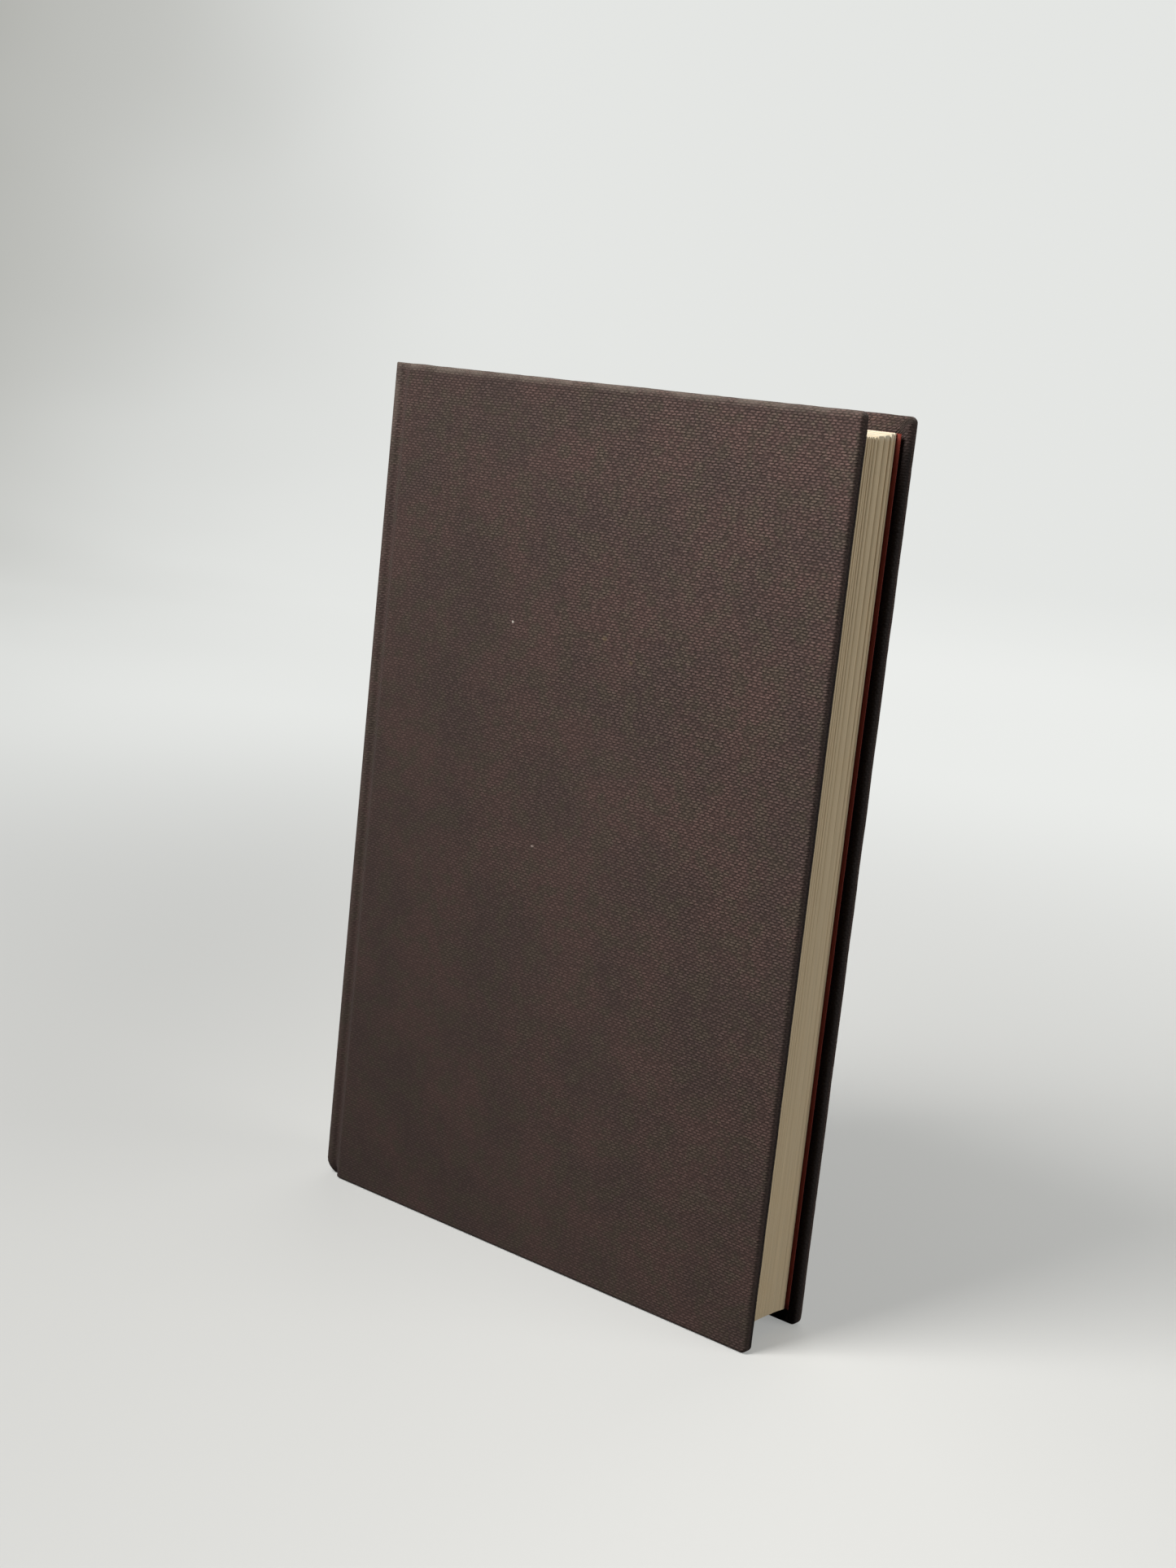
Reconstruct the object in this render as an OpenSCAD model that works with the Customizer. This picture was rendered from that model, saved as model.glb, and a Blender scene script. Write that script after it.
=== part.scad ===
// Cloth-bound hardback book, closed and standing on the tail edges of its covers.
// X runs from the spine to the fore-edge, Y from the front cover to the back cover, Z from tail to head.
// The origin is the middle of the footprint, on the surface that the book stands on.

/* [Covers] */
// Height of the covers, tail to head
cover_h = 224; // [120:1:340]
// Width of the book from the front shoulder of the spine to the fore-edge of the front cover
cover_w = 145.5; // [100:0.5:260]
// Thickness of the whole book over both covers
book_t = 27; // [16:0.5:60]
// Thickness of the grey board inside each cover
board_t = 2.6; // [1.5:0.1:4]
// Radius of the board corners, seen from the front
corner_r = 1.6; // [0.5:0.1:5]
// How far the covers stand out past the pages at head, tail and fore-edge
square = 4.2; // [2:0.1:8]

/* [Cloth] */
// Thickness of the covering cloth
cloth_t = 0.35; // [0.2:0.05:0.6]
// How far the cloth is turned in over the inside of the boards
turn_in = 15; // [8:0.5:25]
// Outer radius of the cloth where it wraps a board edge
edge_r = 0.9; // [0.4:0.1:1.6]
// Width and depth of the seam where two turn-ins meet in a mitred corner
mitre_seam = 0.2; // [0.1:0.05:0.3]

/* [Spine and joints] */
// Radius that the back of the spine is rounded to
spine_r = 75; // [40:1:300]
// How far the back cover sits nearer the spine side than the front cover
lean = 1.5; // [0:0.1:3]
// Radius of the shoulders of the spine
shoulder_r = 1.6; // [1.2:0.1:3]
// How far the shoulders lie below the face of the covers
shoulder_drop = 0.9; // [0.7:0.1:2]
// Distance from the front shoulder to the spine-side edge of the board
board_start = 6.1; // [5.2:0.1:10]
// Distance from the front shoulder to the line in the joint groove that the cover turns about
joint_x = 3.4; // [2.9:0.1:4]
// Depth of the joint groove, below the face of the cover
groove_depth = 1.6; // [1.2:0.1:2.2]
// Slit between the cloth of a cover and the cloth of the spine, at the bottom of the groove
joint_gap = 0.4; // [0.3:0.05:0.8]
// Thickness of the card that stiffens the spine
inlay_t = 0.8; // [0.4:0.1:1.4]
// Space between the hollow spine and the lining on the pages
hollow_gap = 0.5; // [0.3:0.1:0.8]
// Thickness of the paper lining on the back of the pages
lining_t = 0.25; // [0.15:0.05:0.5]
// Thickness of the gauze under the lining
gauze_t = 0.3; // [0.2:0.05:0.5]
// How far the gauze stops short of head and tail
gauze_short = 14; // [5:1:30]

/* [Pages] */
// Number of sewn sections
sections = 16; // [6:1:30]
// Thickness of one endpaper
paper_t = 0.25; // [0.15:0.05:0.35]
// Clearance between a pastedown and the flyleaf in front of it
leaf_gap = 0.3; // [0.3:0.05:0.5]
// Slack between the back flyleaf and the back pastedown
back_slack = 0.85; // [0.3:0.05:2]
// How far the flyleaves stand out past the pages at fore-edge and head
leaf_proud = 0.7; // [0:0.1:1.5]
// Depth of the ridges that the sections make at the head end of the fore-edge
ridge = 0.4; // [0.1:0.05:0.8]
// Uneven setting of the sections at the fore-edge
unevenness = 0.12; // [0:0.02:0.3]
// Hollow of the fore-edge, deepest in the middle of the pages
fore_hollow = 0.5; // [0:0.1:1.5]
// How far the head corners of the leading sections have sagged
head_sag = 1.7; // [0.2:0.1:3]
// Length of the sagged stretch along the head
sag_length = 36; // [10:1:60]
// Share of the sections, from the back, over which the sag fades out
sag_fade = 0.38; // [0.2:0.02:0.8]
// Radius of the bead of a headband
band_r = 0.8; // [0.5:0.1:1.4]

/* [Hidden] */
$fn = 64;

// Levels through the front cover, from its outer face inwards
cover_t = board_t + 2 * cloth_t;
board_back = cloth_t + board_t;
leaf_front = cover_t + paper_t + leaf_gap;
text_front = leaf_front + paper_t;
text_back = book_t - cover_t - paper_t - back_slack - paper_t;
text_t = text_back - text_front;
section_t = text_t / sections;
overlap = 0.02;

// Heights of the pages
text_tail = square;
text_head = cover_h - square;

// Shoulder centres, front and back, and the centre of the spine's rounding
front_shoulder = [shoulder_r, shoulder_drop + shoulder_r];
back_shoulder = [shoulder_r - lean, book_t - shoulder_drop - shoulder_r];
shoulder_span = norm(back_shoulder - front_shoulder);
inner_spine_r = spine_r - shoulder_r;
to_centre = sqrt(inner_spine_r ^ 2 - (shoulder_span / 2) ^ 2);
slant = atan2(lean, back_shoulder.y - front_shoulder.y);
spine_c = (front_shoulder + back_shoulder) / 2 + to_centre * [cos(slant), sin(slant)];
front_angle = angle_from_centre(front_shoulder);
back_angle = angle_from_centre(back_shoulder);

// Radii of the layers on the spine, from the outside inwards
inlay_outer = spine_r - cloth_t;
inlay_inner = inlay_outer - inlay_t;
turn_in_inner = inlay_inner - cloth_t;
lining_outer = turn_in_inner - hollow_gap;
gauze_outer = lining_outer - lining_t;
fold_r = gauze_outer - gauze_t;

// How far the cloth of a shoulder runs on into the cloth of the spine, as an angle about the shoulder
shoulder_lap = 5;

// Middle of the footprint, in coordinates that start at the front shoulder and the front face
spine_left = spine_c.x - spine_r;
origin = [(spine_left + cover_w) / 2, book_t / 2];

cloth_colour = [0.27, 0.22, 0.21];
board_colour = [0.62, 0.60, 0.56];
page_colour = [0.85, 0.80, 0.68];
end_colour = [0.50, 0.12, 0.08];
gauze_colour = [0.86, 0.84, 0.76];
lining_colour = [0.70, 0.56, 0.40];
band_colour = [0.88, 0.84, 0.74];

function angle_from_centre(p) = (atan2(p.y - spine_c.y, p.x - spine_c.x) + 360) % 360;

// Spine-side end of a layer at depth y through the book, for a layer of radius r
function spine_x(r, y) = spine_c.x - sqrt(r ^ 2 - (y - spine_c.y) ^ 2);

// Depth of the front and middle of section i
function section_y(i) = text_front + i * section_t;
function section_mid(i) = section_y(i) + section_t / 2;

// Fore-edge of section i: a shallow hollow, with the sections set a little unevenly
function across(i) = 2 * (i + 0.5) / sections - 1;
function section_fore(i) = cover_w - square - fore_hollow * (1 - across(i) ^ 2)
    - unevenness * (1 + sin(137 * i)) / 2;

// Sag of the head corner of section i, full at the front and fading out at the back
function section_sag(i) = head_sag * pow(min(1, (sections - i - 0.5) / (sections * sag_fade)), 0.7);

module place() {
    translate([-origin.x, -origin.y, 0])
        children();
}

// Turns a front piece into its counterpart at the back, moved by the lean of the spine
module as_back() {
    translate([-lean, book_t, 0])
        mirror([0, 1, 0])
            children();
}

// Stands a drawing in X and Z up, from depth y0 to y1
module in_depth(y0, y1) {
    translate([0, y1, 0])
        rotate([90, 0, 0])
            linear_extrude(y1 - y0)
                children();
}

// Rectangle with round corners, with its lowest corner at p
module round_rect(p, size, r) {
    translate(p + [r, 0])
        square([size.x - 2 * r, size.y]);
    translate(p + [0, r])
        square([size.x, size.y - 2 * r]);
    for (x = [p.x + r, p.x + size.x - r])
        for (z = [p.y + r, p.y + size.y - r])
            translate([x, z])
                circle(r);
}

// Slab with rounded head, tail and fore-edge, from x0 to x1, depth y0 to y1 and height z0 to z1
module rounded_slab(x0, x1, y0, y1, z0, z1, r, corner) {
    reach = corner + r;
    intersection() {
        in_depth(y0, y1)
            round_rect([x0 - reach, z0], [x1 - x0 + reach, z1 - z0], corner);
        translate([0, 0, z0])
            linear_extrude(z1 - z0)
                round_rect([x0 - reach, y0], [x1 - x0 + reach, y1 - y0], r);
        translate([x0, 0, 0])
            rotate([90, 0, 90])
                linear_extrude(x1 - x0)
                    round_rect([y0, z0], [y1 - y0, z1 - z0], r);
    }
}

// Part of a round wall about the spine's centre, between two angles, drawn as radius and height
module around_spine(from, to) {
    translate([spine_c.x, spine_c.y, 0])
        rotate([0, 0, from])
            rotate_extrude(angle = to - from, $fn = 720)
                children();
}

// Angle about the spine's centre at which a layer of radius r is at depth y
function layer_angle(r, y) = 180 - asin((y - spine_c.y) / r);

// Grey board, as cut: it stops a cloth thickness short of the finished edges
module cover_core() {
    rounded_slab(board_start, cover_w - cloth_t, cloth_t, board_back, cloth_t, cover_h - cloth_t,
        max(edge_r - cloth_t, 0.05), max(corner_r - cloth_t, 0.1));
}

// The bare middle of the board's inside, which the turned-in cloth leaves free
module bare_middle(y0, y1, shrink = 0) {
    translate([0, y0, turn_in + shrink])
        cube([cover_w - turn_in - shrink, y1 - y0, cover_h - 2 * (turn_in + shrink)]);
}

// Seam of a mitred corner, running in from the corner of the cover at 45 degrees
module mitre(z, turn) {
    translate([cover_w, cover_t - mitre_seam, z])
        rotate([0, turn, 0])
            translate([-1.5 * turn_in, 0, -mitre_seam / 2])
                cube([1.5 * turn_in, 2 * mitre_seam, mitre_seam]);
}

// Cloth of one cover: over the face, round three edges, turned in, and down into the joint groove
module cover_cloth() {
    difference() {
        rounded_slab(board_start, cover_w, 0, cover_t, 0, cover_h, edge_r, corner_r);
        translate([-cloth_t, 0, 0])
            cover_core();
        cover_core();
        bare_middle(board_back - cloth_t, cover_t + cloth_t);
        mitre(cover_h, -45);
        mitre(0, 45);
    }
    linear_extrude(cover_h)
        polygon([
            [joint_x + joint_gap / 2, groove_depth],
            [board_start - edge_r, cloth_t],
            [board_start, 0],
            [board_start + edge_r, 0],
            [board_start + edge_r, cloth_t],
            [board_start, cloth_t],
            [joint_x + joint_gap / 2, groove_depth + cloth_t]
        ]);
}

// Endpaper pasted on the inside of a cover: it lies on the turn-ins and steps down to the board
module pastedown() {
    difference() {
        translate([board_start, board_back, square])
            cube([cover_w - square - board_start, cloth_t + paper_t, cover_h - 2 * square]);
        difference() {
            cube([2 * cover_w, cover_t, cover_h]);
            bare_middle(0, cover_t);
        }
        bare_middle(board_back + paper_t, cover_t + 2 * paper_t, paper_t);
    }
}

// Free endpaper, from the back of the pages to a little past their fore-edge and head
module flyleaf(y) {
    start = spine_x(fold_r, y) + section_t / 2;
    translate([start, y, text_tail])
        cube([cover_w - square + leaf_proud - start, paper_t, text_head + leaf_proud - text_tail]);
}

// Outline of section i seen from the front, with its sagged head corner
module section_side(i) {
    fore = cover_w - square;
    steps = 6;
    polygon(concat(
        [[spine_left, text_tail], [cover_w, text_tail]],
        [[cover_w, text_head - section_sag(i)]],
        [for (k = [steps:-1:0]) [fore - sag_length * (1 - k / steps),
            text_head - section_sag(i) * (k / steps) ^ 2]],
        [[spine_left, text_head]]
    ));
}

// One sewn section: a round fold at the spine and leaf edges that stand out at the fore-edge
module section(i) {
    front = section_y(i) - (i > 0 ? overlap : 0);
    back = section_y(i + 1) + (i < sections - 1 ? overlap : 0);
    mid = section_mid(i);
    fold = spine_x(fold_r - section_t / 2, mid);
    fore = section_fore(i);
    crest = section_t / 6;
    intersection() {
        in_depth(front, back)
            section_side(i);
        union() {
            translate([0, 0, text_tail])
                linear_extrude(text_head - text_tail)
                    polygon([[fold, front], [fore - ridge, front], [fore, mid - crest],
                        [fore, mid + crest], [fore - ridge, back], [fold, back]]);
            translate([fold, mid, text_tail])
                cylinder(r = section_t / 2, h = text_head - text_tail, $fn = 24);
            in_depth(front, back)
                polygon([[fold, text_tail], [fore, text_tail],
                    [fore - ridge, text_head], [fold, text_head]]);
        }
    }
}

module text_block() {
    color(page_colour)
        place()
            for (i = [0:sections - 1])
                section(i);
}

module front_board() {
    color(board_colour)
        place()
            cover_core();
}

module back_board() {
    color(board_colour)
        place()
            as_back()
                cover_core();
}

module spine_inlay() {
    color(board_colour)
        place()
            around_spine(back_angle, front_angle)
                translate([inlay_inner, cloth_t])
                    square([inlay_t, cover_h - 2 * cloth_t]);
}

// Section of the spine's cloth: round the card at head and tail, and turned in behind it
module spine_wrap_section() {
    difference() {
        round_rect([turn_in_inner, 0], [spine_r - turn_in_inner, cover_h], edge_r / 2);
        translate([inlay_inner, cloth_t])
            square([inlay_t, cover_h - 2 * cloth_t]);
        translate([turn_in_inner - cloth_t, turn_in])
            square([2 * cloth_t, cover_h - 2 * turn_in]);
    }
}

// Cloth over one shoulder of the spine and down to the bottom of the joint groove.
// It starts a little inside the cloth on the back of the spine, whose end is at the angle from.
module shoulder_cloth(from) {
    start = from - shoulder_lap;
    translate([front_shoulder.x, front_shoulder.y, overlap])
        rotate([0, 0, start])
            rotate_extrude(angle = 270 - start)
                translate([shoulder_r - cloth_t + overlap, 0])
                    square([cloth_t - 2 * overlap, cover_h - 2 * overlap]);
    translate([0, 0, 2 * overlap])
        linear_extrude(cover_h - 4 * overlap)
            polygon([
                [shoulder_r - cloth_t / 4, shoulder_drop + cloth_t / 2],
                [shoulder_r + overlap, shoulder_drop + 2 * overlap],
                [joint_x - joint_gap / 2, groove_depth],
                [joint_x - joint_gap / 2, groove_depth + cloth_t],
                [shoulder_r + overlap, shoulder_drop + cloth_t - overlap]
            ]);
}

module spine_cloth() {
    color(cloth_colour)
        place() {
            around_spine(back_angle, front_angle)
                spine_wrap_section();
            shoulder_cloth(front_angle);
            as_back()
                shoulder_cloth(360 - back_angle);
        }
}

module front_cloth() {
    color(cloth_colour)
        place()
            cover_cloth();
}

module back_cloth() {
    color(cloth_colour)
        place()
            as_back()
                cover_cloth();
}

module front_pastedown() {
    color(end_colour)
        place()
            pastedown();
}

module back_pastedown() {
    color(end_colour)
        place()
            as_back()
                pastedown();
}

module front_flyleaf() {
    color(end_colour)
        place()
            flyleaf(leaf_front);
}

module back_flyleaf() {
    color(end_colour)
        place()
            flyleaf(text_back);
}

module spine_gauze() {
    color(gauze_colour)
        place()
            around_spine(layer_angle(gauze_outer, text_back), layer_angle(gauze_outer, text_front))
                translate([fold_r, text_tail + gauze_short])
                    square([gauze_t, text_head - text_tail - 2 * gauze_short]);
}

module spine_lining() {
    color(lining_colour)
        place()
            around_spine(layer_angle(lining_outer, text_back), layer_angle(lining_outer, text_front))
                translate([gauze_outer, text_tail])
                    square([lining_t, text_head - text_tail]);
}

// Bead of a headband, flat where it sits on the ends of the sections, standing up from height z
module band(z) {
    around_spine(layer_angle(fold_r, text_back), layer_angle(fold_r, text_front)) {
        translate([fold_r - 2 * band_r, z])
            square([2 * band_r, band_r]);
        translate([fold_r - band_r, z + band_r])
            circle(band_r);
    }
}

module head_band() {
    color(band_colour)
        place()
            band(text_head);
}

module tail_band() {
    color(band_colour)
        place()
            translate([0, 0, text_tail])
                mirror([0, 0, 1])
                    band(0);
}

text_block();
front_board();
back_board();
spine_inlay();
front_cloth();
spine_cloth();
back_cloth();
front_pastedown();
back_pastedown();
front_flyleaf();
back_flyleaf();
spine_gauze();
spine_lining();
head_band();
tail_band();
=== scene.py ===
"""Looks of a worn cloth-bound hardback book, built around its CAD frame.

Places in the book are given as u, v and z in millimetres: u from the front shoulder of the
spine towards the fore-edge, v from the face of the front cover towards the back cover, and
z from tail to head.
"""

import math

import bmesh
import bpy
from bpy.props import FloatProperty, FloatVectorProperty, PointerProperty
from mathutils import Matrix, Vector, noise


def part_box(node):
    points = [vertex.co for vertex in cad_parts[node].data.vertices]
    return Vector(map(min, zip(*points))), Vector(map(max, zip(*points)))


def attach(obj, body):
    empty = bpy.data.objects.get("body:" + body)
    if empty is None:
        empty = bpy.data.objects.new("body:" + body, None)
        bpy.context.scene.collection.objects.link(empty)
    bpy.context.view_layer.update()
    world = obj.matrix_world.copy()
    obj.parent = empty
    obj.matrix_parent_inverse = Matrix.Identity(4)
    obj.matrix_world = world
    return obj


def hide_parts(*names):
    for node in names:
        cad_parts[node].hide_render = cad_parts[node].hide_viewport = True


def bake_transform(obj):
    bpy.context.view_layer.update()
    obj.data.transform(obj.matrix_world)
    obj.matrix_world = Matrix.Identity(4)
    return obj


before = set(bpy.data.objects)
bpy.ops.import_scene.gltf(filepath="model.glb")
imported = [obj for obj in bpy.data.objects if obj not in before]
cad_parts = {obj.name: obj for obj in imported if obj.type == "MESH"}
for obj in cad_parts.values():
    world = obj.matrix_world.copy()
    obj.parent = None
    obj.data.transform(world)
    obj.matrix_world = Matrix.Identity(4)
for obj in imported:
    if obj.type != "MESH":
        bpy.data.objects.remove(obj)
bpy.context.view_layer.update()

bl_info = {
    "name": "Cloth-bound hardback book",
    "version": (1, 0, 0),
    "blender": (4, 5, 0),
    "location": "3D View > Sidebar > Book",
    "description": "Dresses the CAD frame of a hardback book in cloth, paper and thread",
    "category": "Add Mesh",
}

MM = 0.001
# Vertices closer than this, in metres, are merged
MERGE = 1e-6
# Height and thickness, and how far the back cover stands nearer the spine side
FRONT_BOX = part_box("front_cloth")
BACK_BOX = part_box("back_cloth")
HEIGHT = (FRONT_BOX[1].z - FRONT_BOX[0].z) / MM
THICK = (BACK_BOX[1].y - FRONT_BOX[0].y) / MM
LEAN = (FRONT_BOX[1].x - BACK_BOX[1].x) / MM
# Radius that the folds of the sections follow, and place of the endpapers' fold from the
# front shoulder
FOLD_RADIUS = 72.45
FOLD_PLACE = 2.84
# Places in the joint between which cloth and pasted endpaper bend
BEND_OUTER = 4.7
CLOTH_BEND_INNER = 2.5
PAPER_BEND_INNER = 2.7
# Thickness of the spine's card
CARD = 0.78
# Steps of the cloth over half of the spine
SPINE_STEPS = 12
# Width of one turn of headband thread, and distance between the gauze's threads
STRAND = 0.55
GAUZE_WEAVE = 0.9
# How far the back cover's flat sheet lies from the front's, so that marks fall on one cover
BACK_SHEET = 500.0
# Marks on the front cover: u, z, width, height, share of the colour and colour
MARKS = (
    (50.1, 162.7, 0.4, 0.4, 0.75, (0.80, 0.74, 0.66)),
    (63.9, 107.5, 0.7, 0.3, 0.6, (0.62, 0.50, 0.44)),
    (80.0, 163.0, 1.0, 0.8, 0.16, (0.36, 0.27, 0.12)),
    (88.8, 158.4, 0.9, 0.7, 0.14, (0.36, 0.27, 0.12)),
    (127.0, 35.0, 4.6, 0.35, 0.16, (0.25, 0.20, 0.16)),
    (131.0, 32.6, 3.2, 0.30, 0.14, (0.25, 0.20, 0.16)),
)
# Lamps: name, place, aim, size, power and tint
LAMPS = (
    ("key", (-0.13, -0.42, 0.62), (0.0, 0.0, 0.16), 0.3, 5.8, (1.0, 0.985, 0.97)),
    ("fill", (1.2, 0.45, 0.45), (0.07, 0.0, 0.11), 0.9, 6.6, (1.0, 0.985, 0.96)),
    ("rear", (-0.6, 1.3, 0.9), (0.0, 0.0, 0.1), 1.4, 10.0, (1.0, 0.99, 0.98)),
)
# The photograph's camera: its place in metres, its direction and roll in degrees, and its
# focal length and height in pixels
CAMERA_PLACE = (0.33496, -0.42853, 0.22335)
CAMERA_HEADING = 128.2492
CAMERA_DOWN = 10.3624
CAMERA_ROLL = 6.0971
FOCAL_LENGTH = 2672
PHOTO_HEIGHT = 1927


# Sizes and colours that a user would change


def chosen_length(name, description, default):
    """A length, in metres."""
    return FloatProperty(name=name, description=description, default=default, unit="LENGTH")


def chosen_colour(name, description, default):
    """A colour."""
    return FloatVectorProperty(
        name=name, description=description, default=default, subtype="COLOR")


class CaseSizes(bpy.types.PropertyGroup):
    width: chosen_length("Cover width", "From the front shoulder to the fore-edge", 0.1455)
    cover_thick: chosen_length("Cover thickness", "Board with its cloth on both sides", 0.0033)
    cloth: chosen_length("Cloth thickness", "Thickness of the covering cloth", 0.00035)
    edge: chosen_length("Edge radius", "Outer radius of the cloth round a board edge", 0.0009)
    corner: chosen_length("Corner radius", "Radius of the corners seen from the front", 0.0016)
    turn_in: chosen_length("Turn-in", "How far the cloth is folded over the inside", 0.015)
    crush: chosen_length("Crush", "How far the tail end of the spine is knocked in", 0.0026)
    crush_height: chosen_length(
        "Crush height", "Height over which the tail end is knocked in", 0.0046)
    wave: chosen_length("Edge wave", "Unevenness of the worn edges", 0.00013)


class PageSizes(bpy.types.PropertyGroup):
    square: chosen_length("Square", "How far the covers stand out past the pages", 0.0042)
    front: chosen_length("First page", "Depth of the first page behind the front face", 0.0041)
    back: chosen_length("Last page", "Depth of the last page behind the front face", 0.02235)
    ridge: chosen_length("Ridges", "Depth of the ridges at the head of the fore-edge", 0.0006)
    hollow: chosen_length("Hollow", "Depth of the hollow fore-edge", 0.0005)
    sag: chosen_length("Sag", "Drop of the head corner of the leading pages", 0.0015)
    sag_length: chosen_length("Sag length", "Length of the head that sags", 0.036)
    paper: chosen_length("Endpaper thickness", "Thickness of one endpaper", 0.00025)
    proud: chosen_length("Flyleaf overhang", "How far the flyleaves pass the pages", 0.0009)


class Colours(bpy.types.PropertyGroup):
    cloth: chosen_colour("Cloth", "Brown of the covering cloth", (0.092, 0.0605, 0.053))
    cloth_worn: chosen_colour(
        "Worn cloth", "Greyer brown where the cloth is rubbed", (0.150, 0.122, 0.100))
    pages: chosen_colour("Pages", "Cream of the page edges", (0.80, 0.65, 0.43))
    endpaper: chosen_colour("Endpaper", "Rust red of the endpapers", (0.21, 0.030, 0.018))
    board: chosen_colour("Board", "Grey of the binder's board", (0.30, 0.28, 0.24))
    lining: chosen_colour("Lining", "Brown paper on the back of the pages", (0.42, 0.28, 0.16))
    thread: chosen_colour("Thread", "Off-white of gauze and headbands", (0.70, 0.64, 0.50))
    floor: chosen_colour("Floor", "Pale grey of floor and backdrop", (0.72, 0.72, 0.70))


class Weave(bpy.types.PropertyGroup):
    rib: chosen_length("Rib pitch", "Distance between ribs of the cloth", 0.000655)
    dash: chosen_length("Dash length", "Length of one raised stitch along a rib", 0.0015)


# Places


def at_front(u, v, z):
    """Row-frame point of a place in the book, in metres."""
    width = bpy.context.scene.book_case.width / MM
    return Vector((FRONT_BOX[1].x - (width - u) * MM, FRONT_BOX[0].y + v * MM, z * MM))


def at_back(u, v, z):
    """The same place on the back half, mirrored and moved by the lean of the spine."""
    return at_front(u - LEAN, THICK - v, z)


def smooth(low, high, x):
    """0 up to low, 1 from high, and an even rise between."""
    t = min(max((x - low) / (high - low), 0.0), 1.0)
    return t * t * (3 - 2 * t)


def steps(start, end, pitch):
    """Even steps from start to end, about pitch apart, both ends in."""
    count = max(1, round(abs(end - start) / pitch))
    return [start + (end - start) * k / count for k in range(count + 1)]


def heights_between(insets, pitch):
    """Heights from tail to head: the insets from both ends, and even steps between."""
    return (insets[:-1] + steps(insets[-1], HEIGHT - insets[-1], pitch)
            + [HEIGHT - a for a in reversed(insets[:-1])])


def arc(centre, radius, start, end, count):
    """Points on an arc, angles in degrees."""
    return [
        (centre[0] + radius * math.cos(math.radians(a)),
         centre[1] + radius * math.sin(math.radians(a)))
        for a in (start + (end - start) * k / count for k in range(count + 1))
    ]


# Meshes


def new_mesh():
    """An empty bmesh that keeps, for each vertex, its place on the flat sheet."""
    bm = bmesh.new()
    bm.verts.layers.float_vector.new("flat")
    return bm


def lay_grid(bm, columns, rows, place):
    """A flat grid, each vertex moved to place(i, j): its point and its place on the sheet.
    Where place gives None, the sheet is cut away."""
    flat = bm.verts.layers.float_vector["flat"]
    made = bmesh.ops.create_grid(bm, x_segments=columns, y_segments=rows, size=0.5)["verts"]
    cut = []
    for vert in made:
        i = round((vert.co.x + 0.5) * columns)
        j = round((vert.co.y + 0.5) * rows)
        spot = place(i, j)
        if spot is None:
            cut.append(vert)
        else:
            vert.co, vert[flat] = spot
    bmesh.ops.delete(bm, geom=cut, context="VERTS")


def finish_piece(bm, name, outward, finish, wall=0.0):
    """Merges doubles, turns the faces outwards, gives a sheet its wall and links the piece.
    outward is a point that the nearest face looks towards."""
    bmesh.ops.remove_doubles(bm, verts=bm.verts, dist=MERGE)
    bmesh.ops.recalc_face_normals(bm, faces=bm.faces)
    nearest = min(bm.faces, key=lambda f: (f.calc_center_median() - outward).length)
    if nearest.normal.dot(outward - nearest.calc_center_median()) < 0:
        bmesh.ops.reverse_faces(bm, faces=bm.faces)
    mesh = bpy.data.meshes.new(name)
    bm.to_mesh(mesh)
    bm.free()
    mesh.shade_smooth()
    mesh.materials.append(finish)
    piece = bpy.data.objects.new(name, mesh)
    bpy.context.scene.collection.objects.link(piece)
    if wall:
        solid = piece.modifiers.new("wall", "SOLIDIFY")
        solid.thickness = wall
        solid.offset = -1
        depsgraph = bpy.context.evaluated_depsgraph_get()
        walled = bpy.data.meshes.new_from_object(piece.evaluated_get(depsgraph))
        piece.modifiers.clear()
        piece.data = walled
        walled.name = name
        bpy.data.meshes.remove(mesh)
    piece.data.set_sharp_from_angle(angle=math.radians(60))
    return piece


# Shader nodes


class Value:
    """One output socket of a finish. Arithmetic on it adds Math nodes."""

    def __init__(self, finish, socket):
        self.finish, self.socket = finish, socket

    def math(self, operation, *others):
        return self.finish.math(operation, self, *others)

    def __add__(self, other):
        return self.math("ADD", other)

    def __sub__(self, other):
        return self.math("SUBTRACT", other)

    def __rsub__(self, other):
        return self.finish.math("SUBTRACT", other, self)

    def __mul__(self, other):
        return self.math("MULTIPLY", other)

    def __truediv__(self, other):
        return self.math("DIVIDE", other)

    def __abs__(self):
        return self.math("ABSOLUTE")

    __radd__ = __add__
    __rmul__ = __mul__


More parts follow.
